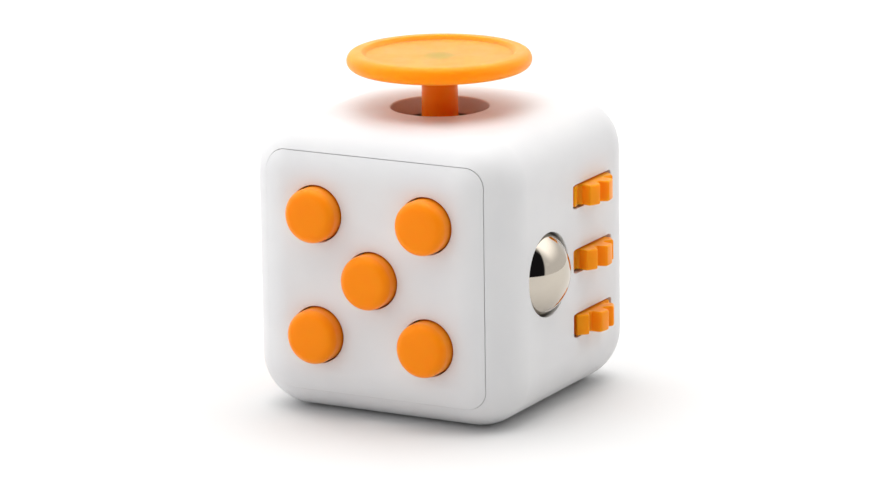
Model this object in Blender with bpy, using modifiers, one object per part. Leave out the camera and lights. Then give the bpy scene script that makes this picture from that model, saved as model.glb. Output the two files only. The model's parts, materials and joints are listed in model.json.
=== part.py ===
"""A fidget cube: a rounded box with a different thing to press, roll, tilt, spin or flip on each face.

Lengths are in metres. The origin is the centre of the bottom face, +Z is up, the click buttons are on
the front (-Y), the rolling ball and wheels are on the right (+X) and the tilting disc is on top (+Z).
"""

from math import asin, cos, pi, radians, sin

import bmesh
import bpy
from mathutils import Vector

# Housing
CUBE_SIDE = 0.0330
HALF = CUBE_SIDE / 2
MIDDLE = HALF  # height of the cube's centre
EDGE_RADIUS = 0.0060
WALL = 0.0020
INNER_HALF = HALF - WALL
REST_GAP = 0.0001  # between pieces that touch or are fixed together
OVERSHOOT = 0.001  # how far a cutter runs past the face that it opens

# Front panel with the five buttons
PANEL_HALF = 0.01362
PANEL_THICKNESS = 0.0022
PANEL_CORNER = 0.0024
PANEL_BACK = -HALF + PANEL_THICKNESS
PANEL_SEAM = 0.0001
LEDGE_HALF = 0.01295  # clear half width of the opening behind the panel
LEDGE_CORNER = 0.0018

BUTTON_SPACING = 0.0069
BUTTON_RADIUS = 0.00308
BUTTON_HOLE_RADIUS = 0.00323
BUTTON_FRONT = -0.01855
BUTTON_EDGE = 0.0009
BUTTON_FLANGE_RADIUS = 0.0037
BUTTON_FLANGE = 0.0007
BUTTON_PLACES = ((-1, 1), (1, 1), (0, 0), (-1, -1), (1, -1))
CLICK_BUTTONS = (1, 3, 5)  # these have a metal click dome, the others a silent rubber one

CARRIER_FRONT = -0.0124
CARRIER_THICKNESS = 0.0010
CARRIER_HALF = 0.0126
CARRIER_SCREW_LENGTH = 0.0024
BOSS_PLACE = 0.0114  # of the panel's corner bosses, from the centre
PANEL_BOSS_LENGTH = 0.0021

DOME_RIM = 0.0024
DOME_HEIGHT = 0.0009
DOME_SKIN = 0.00016
PAD_RIM = 0.0023
PAD_NECK = 0.0013

# Screws
SCREW_HEAD_RADIUS = 0.0011
SCREW_HEAD = 0.0007
SCREW_RADIUS = 0.00055
SCREW_HOLE_RADIUS = 0.00068
SCREW_FOOT = 0.0014  # of a strap, from its screw's middle to its end
BOSS_RADIUS = 0.0014
BOSS_HOLE_DEPTH = 0.0018

# Rolling ball, pressed in against a spring
BALL_RADIUS = 0.0053
BALL_CENTRE = Vector((0.0133, -0.00565, MIDDLE))
BALL_HOLE_RADIUS = 0.00495
BALL_SEAT_RADIUS = 0.0055
CUP_BACK = 0.0071
CUP_RIM = 0.0105
CUP_RADIUS = 0.0053
BALL_BRACKET_HALF_WIDTH = 0.0016
BALL_BRACKET_BACK = 0.0036
BALL_BRACKET_LEG = 0.0059  # from the ball's centre to the inside of each leg
BALL_BRACKET_THICKNESS = 0.0010
BALL_FOOT_FRONT = 0.0133
BALL_SCREW_PLACE = 0.0087
BALL_SCREW_LENGTH = 0.0026
BALL_BOSS_LENGTH = 0.0022
BALL_BRACKET_BASE = 0.0008
BALL_COIL_RADIUS = 0.0020
BALL_WIRE_RADIUS = 0.0002

# Rolling wheels, on one upright axle
WHEEL_COUNT = 3
WHEEL_PITCH = 0.0074
WHEEL_RADIUS = 0.00495
WHEEL_ROOT_RADIUS = 0.0039
WHEEL_THICKNESS = 0.00235
WHEEL_TEETH = 10
WHEEL_TURNS = (26, 4, 9)  # where a tooth of each wheel rests, in degrees round from +X, lowest wheel first
WHEEL_AXIS = (0.01365, 0.00505)
AXLE_RADIUS = 0.0007
AXLE_HOLE_RADIUS = 0.00076
CAGE_FRONT = 0.0148
CAGE_FOOT_FRONT = 0.0122
CAGE_SCREW_PLACE = 0.0121
CAGE_SCREW_LENGTH = 0.0025
CAGE_BOSS_LENGTH = 0.0027
CAGE_BACK = 0.0074
CAGE_THICKNESS = 0.0008
CAGE_HALF_WIDTH = 0.0017
CAGE_ARM_HALF = 0.0006
CAGE_STEPS = (-2.6, -1, 1, 2.6)  # heights of the cage's arms, in half wheel pitches
SLOT_HALF_WIDTH = 0.00465
SLOT_HALF_HEIGHT = 0.0013

# Tilting stick
STICK_PIVOT = Vector((0.0, 0.0, 0.0240))
STICK_HOLE_RADIUS = 0.00554
POST_RADIUS = 0.0020
SPIGOT_RADIUS = 0.0015
SPIGOT_LENGTH = 0.0008
DISC_RADIUS = 0.01042
DISC_BOTTOM = 0.03735
DISC_TOP = 0.03935
DISC_DISH_RADIUS = 0.0083
DISC_DISH = 0.00045
DOME_RADIUS = 0.0068
DOME_THICKNESS = 0.0008
DOME_REACH = radians(56)
RING_INNER = 0.0032
RING_OUTER = 0.0044
RING_HALF_HEIGHT = 0.0011
PIVOT_PIN_RADIUS = 0.0006
PIVOT_HOLE_RADIUS = 0.00066
FRAME_LEG_INSIDE = 0.0069
FRAME_LEG_OUTSIDE = 0.0081
FRAME_HALF_WIDTH = 0.0028
FRAME_BASE_TOP = 0.0152
FRAME_BASE = 0.0010
FRAME_FOOT = (0.0273, 0.0283)
STICK_SCREW_PLACE = 0.0094
STICK_SCREW_LENGTH = 0.0030
STICK_BOSS_LENGTH = 0.0036
STICK_BOSS_HOLE_DEPTH = 0.0030
STICK_FOOT_RADIUS = 0.0028
STICK_FOOT_DEPTH = 0.0036  # of the post's foot, below the pivot
STICK_TAIL_RADIUS = 0.0014
STICK_COIL_RADIUS = 0.0021
STICK_WIRE_RADIUS = 0.00022

# Spinning dial
DIAL_RADIUS = 0.0095
DIAL_RECESS_RADIUS = 0.00975
DIAL_RECESS_FLOOR = -0.0156
DIAL_FACE = -0.0173
DIAL_NUB_END = -0.0186
DIAL_NUB_PLACE = 0.0058
DIAL_HUB_RADIUS = 0.0022
DIAL_BORE_RADIUS = 0.00228
DIAL_DISH = 0.0003
DIAL_NUB_RADIUS = 0.0018
DIAL_SCREW_LENGTH = 0.0028
DIAL_WASHER_RADIUS = 0.0034
DIAL_WASHER_THICKNESS = 0.0005

# Flip rocker
ROCKER_PIVOT = Vector((0.0, 0.0134, MIDDLE))
ROCKER_HALF_WIDTH = 0.00405
ROCKER_END_RADIUS = 0.00715
ROCKER_TILT = radians(10)
ROCKER_PIN_RADIUS = 0.00075
ROCKER_HOLE_RADIUS = 0.00082
ROCKER_TIP = 0.0040
ROCKER_VALLEY = 0.0032
ROCKER_UNDERSIDE = 0.0022
ROCKER_SKIRT = 0.0008
ROCKER_SKIRT_END = radians(-6.4)
ROCKER_HUB_RADIUS = 0.0014
ROCKER_OPENING = (0.0042, 0.0072)
ROCKER_OPENING_BACK = 0.0139
ROCKER_PIN_HALF = 0.0056
LEAF_THICKNESS = 0.0002
LEAF_HALF_LENGTH = 0.0034
LEAF_HALF_WIDTH = 0.0015
LEAF_PLACE = 0.0113
LEAF_BOW = 0.0005
ROCKER_FRAME_HALF = 0.0054
ROCKER_FRAME_INSIDE = 0.0044
ROCKER_FOOT_BACK = 0.0132
ROCKER_FOOT_THICKNESS = 0.0010
ROCKER_SCREW_PLACE = 0.0100
ROCKER_SCREW_LENGTH = 0.0025
ROCKER_BOSS_LENGTH = 0.0023
STRAP_RISERS = (0.0078, 0.0086)  # inside and outside faces, from the pivot's height
STRAP_BACK = 0.0099
STRAP_FRONT = 0.0109
STRAP_HALF_WIDTH = 0.0020

# Worry dimple
DIMPLE_HALF = (0.0074, 0.0060, 0.0019)
DIMPLE_PAD_TOP = 0.0030

ALONG_X = (0.0, pi / 2, 0.0)
ALONG_Y = (-pi / 2, 0.0, 0.0)
ALONG_Z = (0.0, 0.0, 0.0)
TOP_LEFT = (0.0, -pi / 2, 0.0)  # turned pieces whose top faces -X
TOP_FRONT = (pi / 2, 0.0, 0.0)  # turned pieces whose top faces -Y
TOP_DOWN = (pi, 0.0, 0.0)
UP_THE_BACK = (0.0, -pi / 2, 0.0)  # an outline whose X runs up and whose Y points out of the back


def clear_scene():
    for obj in list(bpy.data.objects):
        bpy.data.objects.remove(obj)


def new_collection(name):
    collection = bpy.data.collections.new(name)
    bpy.context.scene.collection.children.link(collection)
    return collection


def new_material(name, colour, roughness, metallic=0.0):
    material = bpy.data.materials.new(name)
    material.use_nodes = True
    shader = material.node_tree.nodes["Principled BSDF"]
    shader.inputs["Base Color"].default_value = (*colour, 1.0)
    shader.inputs["Roughness"].default_value = roughness
    shader.inputs["Metallic"].default_value = metallic
    return material


clear_scene()
CUBE = new_collection("fidget_cube")
CUTTERS = new_collection("cutters")
WHITE = new_material("white_plastic", (0.86, 0.85, 0.84), 0.38)
ORANGE = new_material("orange_plastic", (0.90, 0.30, 0.02), 0.40)
STEEL = new_material("polished_steel", (0.80, 0.79, 0.76), 0.10, 1.0)
SPRING = new_material("spring_steel", (0.55, 0.56, 0.58), 0.30, 1.0)
SCREWS = new_material("screw_steel", (0.62, 0.62, 0.63), 0.32, 1.0)
GREY = new_material("grey_plastic", (0.42, 0.42, 0.43), 0.50)
RUBBER = new_material("silicone_rubber", (0.30, 0.30, 0.31), 0.70)


def make(name, build, material=None, place=(0, 0, 0), turn=ALONG_Z):
    """An object whose mesh is what build adds to an empty bmesh. With no material it is a cutter."""
    shape = bmesh.new()
    build(shape)
    mesh = bpy.data.meshes.new(name)
    shape.to_mesh(mesh)
    shape.free()
    return put(name, mesh, material, place, turn)


def put(name, mesh, material, place, turn):
    obj = bpy.data.objects.new(name, mesh)
    obj.location = place
    obj.rotation_euler = turn
    if material:
        mesh.materials.append(material)
        CUBE.objects.link(obj)
        mesh.shade_smooth()
        mesh.set_sharp_from_angle(angle=radians(40))
    else:
        CUTTERS.objects.link(obj)
        obj.hide_render = True
        obj.display_type = "WIRE"
    return obj


def box(name, low, high, material=None, radius=0.0, segments=2, edges=None):
    """A box between two opposite corners. edges limits the rounding to those along one axis."""
    low = Vector(low)
    high = Vector(high)
    size = Vector([abs(length) for length in high - low])

    def build(shape):
        bmesh.ops.create_cube(shape, size=1.0)
        bmesh.ops.scale(shape, vec=size, verts=shape.verts)
        if edges is None:
            return
        along = [e for e in shape.edges if abs((e.verts[0].co - e.verts[1].co)[edges]) > size[edges] / 2]
        bmesh.ops.bevel(shape, geom=along, offset=radius, segments=segments, profile=0.5, affect="EDGES")

    obj = make(name, build, material, (low + high) / 2)
    if radius and edges is None:
        bevel = obj.modifiers.new("rounding", "BEVEL")
        bevel.width = radius
        bevel.segments = segments
        bevel.limit_method = "NONE"
    return obj


def cylinder(name, radius, start, end, sides=20, material=None, chamfer=0.0):
    """A round bar from one point to another."""
    start = Vector(start)
    end = Vector(end)
    turn = Vector((0, 0, 1)).rotation_difference(end - start).to_euler()

    def build(shape):
        bmesh.ops.create_cone(
            shape, cap_ends=True, segments=sides, radius1=radius, radius2=radius, depth=(end - start).length
        )

    obj = make(name, build, material, (start + end) / 2, turn)
    if chamfer:
        bevel = obj.modifiers.new("chamfer", "BEVEL")
        bevel.width = chamfer
        bevel.segments = 1
        bevel.angle_limit = radians(60)
    return obj


def sphere(name, radius, place, sides, rings, material=None, scale=(1, 1, 1), turn=ALONG_Z):
    def build(shape):
        bmesh.ops.create_uvsphere(shape, u_segments=sides, v_segments=rings, radius=radius)
        bmesh.ops.scale(shape, vec=scale, verts=shape.verts)

    return make(name, build, material, place, turn)


def turned(name, profile, steps, material=None, place=(0, 0, 0), turn=ALONG_Z):
    """A solid of revolution about Z. The profile's points are (radius, height), top to bottom."""

    def build(shape):
        points = [shape.verts.new((radius, 0.0, height)) for radius, height in profile]
        for first, second in zip(points, points[1:]):
            shape.edges.new((first, second))

    obj = make(name, build, material, place, turn)
    screw = obj.modifiers.new("turning", "SCREW")
    screw.steps = steps
    screw.render_steps = steps
    screw.use_merge_vertices = True
    screw.merge_threshold = 1e-6
    screw.use_smooth_shade = True
    return obj


def extruded(name, outline, low, high, material, place, turn):
    """A closed outline in the XY plane, extruded along Z between two heights."""

    def build(shape):
        face = shape.faces.new([shape.verts.new((x, y, low)) for x, y in outline])
        face.normal_flip()
        top = bmesh.ops.extrude_face_region(shape, geom=[face])["geom"]
        raised = [part for part in top if isinstance(part, bmesh.types.BMVert)]
        bmesh.ops.translate(shape, vec=(0, 0, high - low), verts=raised)
        bmesh.ops.recalc_face_normals(shape, faces=shape.faces)

    return make(name, build, material, place, turn)


def combine(target, operation, *others):
    for other in others:
        boolean = target.modifiers.new(other.name, "BOOLEAN")
        boolean.operation = operation
        boolean.object = other
        boolean.solver = "EXACT"


def cut(target, *others):
    combine(target, "DIFFERENCE", *others)


def join(target, *others):
    combine(target, "UNION", *others)


def screw(name, place, length, turn):
    """A pan-head screw. Its head's underside is at place, and its shank runs down from there."""
    profile = [
        (0.0, SCREW_HEAD),
        (SCREW_HEAD_RADIUS * 0.7, SCREW_HEAD),
        (SCREW_HEAD_RADIUS, SCREW_HEAD * 0.5),
        (SCREW_HEAD_RADIUS, 0.0),
        (SCREW_RADIUS, 0.0),
        (SCREW_RADIUS, -length + SCREW_RADIUS),
        (0.0, -length),
    ]
    return turned(name, profile, 10, SCREWS, place, turn)


def coil(name, radius, wire_radius, length, turns, place, turn):
    """A compression spring of round wire about Z, from height 0 to length."""
    points_per_turn = 8
    count = round(turns * points_per_turn) + 1
    curve = bpy.data.curves.new(name, "CURVE")
    curve.dimensions = "3D"
    curve.bevel_depth = wire_radius
    curve.bevel_resolution = 2
    curve.use_fill_caps = True
    line = curve.splines.new("POLY")
    line.points.add(count - 1)
    climb = length - 2 * wire_radius
    for index, point in enumerate(line.points):
        share = index / (count - 1)
        angle = 2 * pi * turns * share
        height = wire_radius + climb * share
        point.co = (radius * cos(angle), radius * sin(angle), height, 1.0)
    obj = bpy.data.objects.new(name, curve)
    obj.location = place
    obj.rotation_euler = turn
    curve.materials.append(SPRING)
    CUBE.objects.link(obj)
    return obj


def rounded_prism(name, half, corner, front, back, middle=(0.0, MIDDLE)):
    """A rounded square across X and Z, between two places on Y."""
    x, z = middle
    return box(name, (x - half, front, z - half), (x + half, back, z + half), None, corner, 3, 1)


def housing_block(name, material=None):
    low = (-HALF, -HALF, 0.0)
    high = (HALF, HALF, CUBE_SIDE)
    return box(name, low, high, material, EDGE_RADIUS, 4)


def wheel_heights():
    return [MIDDLE + (index - (WHEEL_COUNT - 1) / 2) * WHEEL_PITCH for index in range(WHEEL_COUNT)]


def cage_heights():
    return [MIDDLE + step * WHEEL_PITCH / 2 for step in CAGE_STEPS]


def button_places():
    return [(x * BUTTON_SPACING, MIDDLE + z * BUTTON_SPACING) for x, z in BUTTON_PLACES]


def corner_places():
    return [(x * BOSS_PLACE, MIDDLE + z * BOSS_PLACE) for x in (-1, 1) for z in (-1, 1)]


def screw_boss(name, face, inward, length, hole_depth=BOSS_HOLE_DEPTH):
    """A boss whose end face is at face and which runs inward to end inside the wall, with a screw hole.

    Gives the boss to join and the hole to cut.
    """
    face = Vector(face)
    inward = Vector(inward)
    boss = cylinder(name + "_boss", BOSS_RADIUS, face, face + inward * length, 14)
    start = face - inward * OVERSHOOT
    hole = cylinder(name + "_hole", SCREW_HOLE_RADIUS, start, face + inward * hole_depth, 10)
    return boss, hole


def screw_hole(target, name, middle, along):
    """Cuts a clearance hole for a screw through a thin plate."""
    middle = Vector(middle)
    reach = Vector(along) * 2 * OVERSHOOT
    cut(target, cylinder(name, SCREW_HOLE_RADIUS, middle - reach, middle + reach, 10))


def make_body_shell():
    shell = housing_block("body_shell", WHITE)
    inner_low = (-INNER_HALF, -INNER_HALF, WALL)
    inner_high = (INNER_HALF, INNER_HALF, CUBE_SIDE - WALL)
    cut(shell, box("cavity", inner_low, inner_high, None, EDGE_RADIUS - WALL, 3))
    outside = -HALF - OVERSHOOT
    seat_half = PANEL_HALF + PANEL_SEAM
    cut(shell, rounded_prism("panel_seat", seat_half, PANEL_CORNER + PANEL_SEAM, outside, PANEL_BACK))
    behind = -HALF + EDGE_RADIUS + 2 * OVERSHOOT
    cut(shell, rounded_prism("panel_opening", LEDGE_HALF, LEDGE_CORNER, PANEL_BACK - OVERSHOOT, behind))

    pad = cylinder("dimple_pad", DIMPLE_HALF[0], (0, 0, WALL / 2), (0, 0, DIMPLE_PAD_TOP), sides=24)
    join(shell, pad)
    cut(shell, sphere("dimple", 1.0, (0, 0, 0), 28, 12, scale=DIMPLE_HALF))

    bosses = []
    holes = []
    for number, side in enumerate((-1, 1), 1):
        y = side * STICK_SCREW_PLACE
        face = FRAME_FOOT[1] + REST_GAP
        place = (0, y, face)
        stick = screw_boss(f"stick_{number}", place, (0, 0, 1), STICK_BOSS_LENGTH, STICK_BOSS_HOLE_DEPTH)
        place = (BALL_FOOT_FRONT + REST_GAP, BALL_CENTRE.y, MIDDLE + side * BALL_SCREW_PLACE)
        ball = screw_boss(f"ball_{number}", place, (1, 0, 0), BALL_BOSS_LENGTH)
        place = (CAGE_FOOT_FRONT + REST_GAP, WHEEL_AXIS[1], MIDDLE + side * CAGE_SCREW_PLACE)
        wheel = screw_boss(f"wheel_{number}", place, (1, 0, 0), CAGE_BOSS_LENGTH)
        place = (0, ROCKER_FOOT_BACK + REST_GAP, MIDDLE + side * ROCKER_SCREW_PLACE)
        rocker = screw_boss(f"rocker_{number}", place, (0, 1, 0), ROCKER_BOSS_LENGTH)
        for boss, hole in (stick, ball, wheel, rocker):
            bosses.append(boss)
            holes.append(hole)
    join(shell, *bosses)
    cut(shell, *holes)

    top = CUBE_SIDE + OVERSHOOT
    right = HALF + OVERSHOOT
    under = CUBE_SIDE - WALL - OVERSHOOT
    cut(shell, cylinder("stick_hole", STICK_HOLE_RADIUS, (0, 0, under), (0, 0, top), sides=40))
    ball = BALL_CENTRE
    hole_start = (ball.x, ball.y, ball.z)
    cut(shell, cylinder("ball_hole", BALL_HOLE_RADIUS, hole_start, (right, ball.y, ball.z), 32))
    cut(shell, sphere("ball_seat", BALL_SEAT_RADIUS, BALL_CENTRE, 24, 14, turn=ALONG_X))
    wheel_x, wheel_y = WHEEL_AXIS
    for index, height in enumerate(wheel_heights()):
        low = (wheel_x, wheel_y - SLOT_HALF_WIDTH, height - SLOT_HALF_HEIGHT)
        high = (right, wheel_y + SLOT_HALF_WIDTH, height + SLOT_HALF_HEIGHT)
        cut(shell, box(f"wheel_slot_{index}", low, high))
        relief = SLOT_HALF_HEIGHT + REST_GAP
        below = (wheel_x, wheel_y, height - relief)
        above = (wheel_x, wheel_y, height + relief)
        cut(shell, cylinder(f"wheel_relief_{index}", WHEEL_RADIUS + 0.00015, below, above, sides=36))
    room = CAGE_HALF_WIDTH + 0.0002
    low = (INNER_HALF - OVERSHOOT, wheel_y - room, cage_heights()[0] - room / 2)
    high = (CAGE_FRONT + REST_GAP, wheel_y + room, cage_heights()[-1] + room / 2)
    cut(shell, box("cage_groove", low, high))
    left = -HALF - OVERSHOOT
    inside = -INNER_HALF + OVERSHOOT
    recess_end = (DIAL_RECESS_FLOOR, 0, MIDDLE)
    cut(shell, cylinder("dial_recess", DIAL_RECESS_RADIUS, (left, 0, MIDDLE), recess_end, 40))
    cut(shell, cylinder("dial_bore", DIAL_BORE_RADIUS, (left, 0, MIDDLE), (inside, 0, MIDDLE), 20))
    half_width, half_length = ROCKER_OPENING
    low = (-half_width, ROCKER_OPENING_BACK, MIDDLE - half_length)
    high = (half_width, HALF + OVERSHOOT, MIDDLE + half_length)
    cut(shell, box("rocker_opening", low, high))


def make_front_panel():
    panel = housing_block("front_panel", WHITE)
    outside = -HALF - OVERSHOOT
    combine(panel, "INTERSECT", rounded_prism("panel_outline", PANEL_HALF, PANEL_CORNER, outside, PANEL_BACK))
    for number, (x, z) in enumerate(corner_places(), 1):
        face = (x, CARRIER_FRONT - REST_GAP, z)
        boss, hole = screw_boss(f"panel_{number}", face, (0, -1, 0), PANEL_BOSS_LENGTH)
        join(panel, boss)
        cut(panel, hole)
    for index, (x, z) in enumerate(button_places()):
        front = (x, outside, z)
        back = (x, PANEL_BACK + OVERSHOOT, z)
        cut(panel, cylinder(f"button_hole_{index}", BUTTON_HOLE_RADIUS, front, back, 24))


def make_buttons():
    flange_front = PANEL_BACK + REST_GAP
    height = flange_front - BUTTON_FRONT
    edge = BUTTON_EDGE
    profile = [(0.0, height), (BUTTON_RADIUS - edge, height)]
    for index in range(1, 3):
        angle = radians(90 - 45 * index)
        profile.append((BUTTON_RADIUS - edge + edge * cos(angle), height - edge + edge * sin(angle)))
    profile += [
        (BUTTON_RADIUS, 0.0),
        (BUTTON_FLANGE_RADIUS, 0.0),
        (BUTTON_FLANGE_RADIUS, -BUTTON_FLANGE),
        (0.0, -BUTTON_FLANGE),
    ]
    for number, (x, z) in enumerate(button_places(), 1):
        turned(f"button_{number}", profile, 20, ORANGE, (x, flange_front, z), TOP_FRONT)


def make_button_springs():
    """Under each button lies a sprung dome: thin metal that clicks, or soft rubber that doesn't."""
    base = CARRIER_FRONT - REST_GAP
    tall = DOME_HEIGHT
    rim = DOME_RIM
    skin = DOME_SKIN
    metal = [(0.0, tall), (rim * 0.45, tall * 0.86), (rim * 0.8, tall * 0.45), (rim, skin), (rim, 0.0)]
    metal += [(rim * 0.8, tall * 0.45 - skin), (rim * 0.45, tall * 0.86 - skin), (0.0, tall - skin)]
    soft = [(0.0, tall), (PAD_NECK * 0.8, tall), (PAD_NECK, tall * 0.4)]
    soft += [(PAD_RIM, tall * 0.3), (PAD_RIM, 0.0), (0.0, 0.0)]
    clicks = 0
    for number, (x, z) in enumerate(button_places(), 1):
        place = (x, base, z)
        if number in CLICK_BUTTONS:
            clicks += 1
            turned(f"click_dome_{clicks}", metal, 16, SPRING, place, TOP_FRONT)
        else:
            turned(f"silent_pad_{number - clicks}", soft, 16, RUBBER, place, TOP_FRONT)


def make_button_carrier():
    back = CARRIER_FRONT + CARRIER_THICKNESS
    low = (-CARRIER_HALF, CARRIER_FRONT, MIDDLE - CARRIER_HALF)
    high = (CARRIER_HALF, back, MIDDLE + CARRIER_HALF)
    carrier = box("button_carrier", low, high, GREY, PANEL_CORNER, 3, 1)
    for number, (x, z) in enumerate(corner_places(), 1):
        screw_hole(carrier, f"carrier_hole_{number}", (x, CARRIER_FRONT, z), (0, 1, 0))
        screw(f"carrier_screw_{number}", (x, back + REST_GAP, z), CARRIER_SCREW_LENGTH, ALONG_Y)


def make_ball():
    ball = BALL_CENTRE
    sphere("steel_ball", BALL_RADIUS, ball, 24, 14, STEEL)
    seat = BALL_RADIUS + 0.00012
    deepest = ball.x - CUP_BACK
    rim = ball.x - CUP_RIM
    steps = 4
    profile = [(0.0, deepest), (CUP_RADIUS, deepest), (CUP_RADIUS, rim)]
    widest = pi / 2 - asin(rim / seat)
    for index in range(steps + 1):
        angle = widest * (1 - index / steps)
        profile.append((seat * sin(angle), seat * cos(angle)))
    turned("ball_cup", profile, 24, GREY, ball, TOP_LEFT)

    start = BALL_BRACKET_BACK + BALL_BRACKET_BASE + REST_GAP
    length = CUP_BACK - REST_GAP - start
    coil("ball_spring", BALL_COIL_RADIUS, BALL_WIRE_RADIUS, length, 3.5, (start, ball.y, ball.z), ALONG_X)

    half_width = BALL_BRACKET_HALF_WIDTH
    leg = BALL_BRACKET_LEG + BALL_BRACKET_THICKNESS
    low = (BALL_BRACKET_BACK, ball.y - half_width, ball.z - leg)
    high = (BALL_FOOT_FRONT, ball.y + half_width, ball.z + leg)
    bracket = box("ball_bracket", low, high, GREY)
    aside = half_width + OVERSHOOT
    low = (BALL_BRACKET_BACK + BALL_BRACKET_BASE, ball.y - aside, ball.z - BALL_BRACKET_LEG)
    high = (BALL_FOOT_FRONT + OVERSHOOT, ball.y + aside, ball.z + BALL_BRACKET_LEG)
    cut(bracket, box("ball_bracket_inside", low, high))
    foot_back = BALL_FOOT_FRONT - BALL_BRACKET_THICKNESS
    for number, side in enumerate((-1, 1), 1):
        near = ball.z + side * (BALL_BRACKET_LEG + 0.0002)
        far = ball.z + side * (BALL_SCREW_PLACE + SCREW_FOOT)
        corner = (foot_back, ball.y - half_width, near)
        join(bracket, box(f"ball_bracket_foot_{number}", corner, (BALL_FOOT_FRONT, ball.y + half_width, far)))
        z = ball.z + side * BALL_SCREW_PLACE
        screw_hole(bracket, f"ball_foot_hole_{number}", (foot_back, ball.y, z), (1, 0, 0))
        screw(f"ball_screw_{number}", (foot_back - REST_GAP, ball.y, z), BALL_SCREW_LENGTH, TOP_LEFT)


def wheel_outline():
    """Chunky teeth with sloping flanks. A corner is (share of the pitch from the tooth's middle, radius)."""
    outline = []
    pitch = 2 * pi / WHEEL_TEETH
    tip = WHEEL_RADIUS
    root = WHEEL_ROOT_RADIUS
    corners = ((-0.42, root), (-0.22, tip), (0.22, tip), (0.42, root))
    for tooth in range(WHEEL_TEETH):
        for share, radius in corners:
            angle = pitch * (tooth + share)
            outline.append((radius * cos(angle), radius * sin(angle)))
    return outline


def make_wheels():
    x, y = WHEEL_AXIS
    half = WHEEL_THICKNESS / 2
    for number, height in enumerate(wheel_heights(), 1):
        turn = (0, 0, radians(WHEEL_TURNS[number - 1]))
        place = (x, y, height)
        wheel = extruded(f"roll_wheel_{number}", wheel_outline(), -half, half, ORANGE, place, turn)
        below = (x, y, height - half - OVERSHOOT)
        above = (x, y, height + half + OVERSHOOT)
        cut(wheel, cylinder(f"wheel_bore_{number}", AXLE_HOLE_RADIUS, below, above, sides=16))

    arm = CAGE_ARM_HALF
    bottom = cage_heights()[0] - arm
    top = cage_heights()[-1] + arm
    half_width = CAGE_HALF_WIDTH
    cage_front = CAGE_BACK + CAGE_THICKNESS
    cage = box("wheel_cage", (CAGE_BACK, y - half_width, bottom), (cage_front, y + half_width, top), GREY)
    for number, height in enumerate(cage_heights(), 1):
        low = (CAGE_BACK + CAGE_THICKNESS / 4, y - half_width, height - arm)
        high = (CAGE_FRONT, y + half_width, height + arm)
        join(cage, box(f"cage_arm_{number}", low, high))
    foot_back = CAGE_FOOT_FRONT - CAGE_THICKNESS
    for number, side in enumerate((-1, 1), 1):
        near = cage_heights()[0] if side < 0 else cage_heights()[-1]
        far = MIDDLE + side * (CAGE_SCREW_PLACE + SCREW_FOOT)
        corner = (foot_back, y - half_width, near)
        join(cage, box(f"cage_foot_{number}", corner, (CAGE_FOOT_FRONT, y + half_width, far)))
        z = MIDDLE + side * CAGE_SCREW_PLACE
        screw_hole(cage, f"cage_foot_hole_{number}", (foot_back, y, z), (1, 0, 0))
        screw(f"cage_screw_{number}", (foot_back - REST_GAP, y, z), CAGE_SCREW_LENGTH, TOP_LEFT)
    below = (x, y, bottom - OVERSHOOT)
    above = (x, y, top + OVERSHOOT)
    cut(cage, cylinder("cage_bore", AXLE_HOLE_RADIUS, below, above, 16))
    start = (x, y, bottom - 0.0002)
    end = (x, y, top + 0.0002)
    cylinder("wheel_axle", AXLE_RADIUS, start, end, 16, STEEL)


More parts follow.
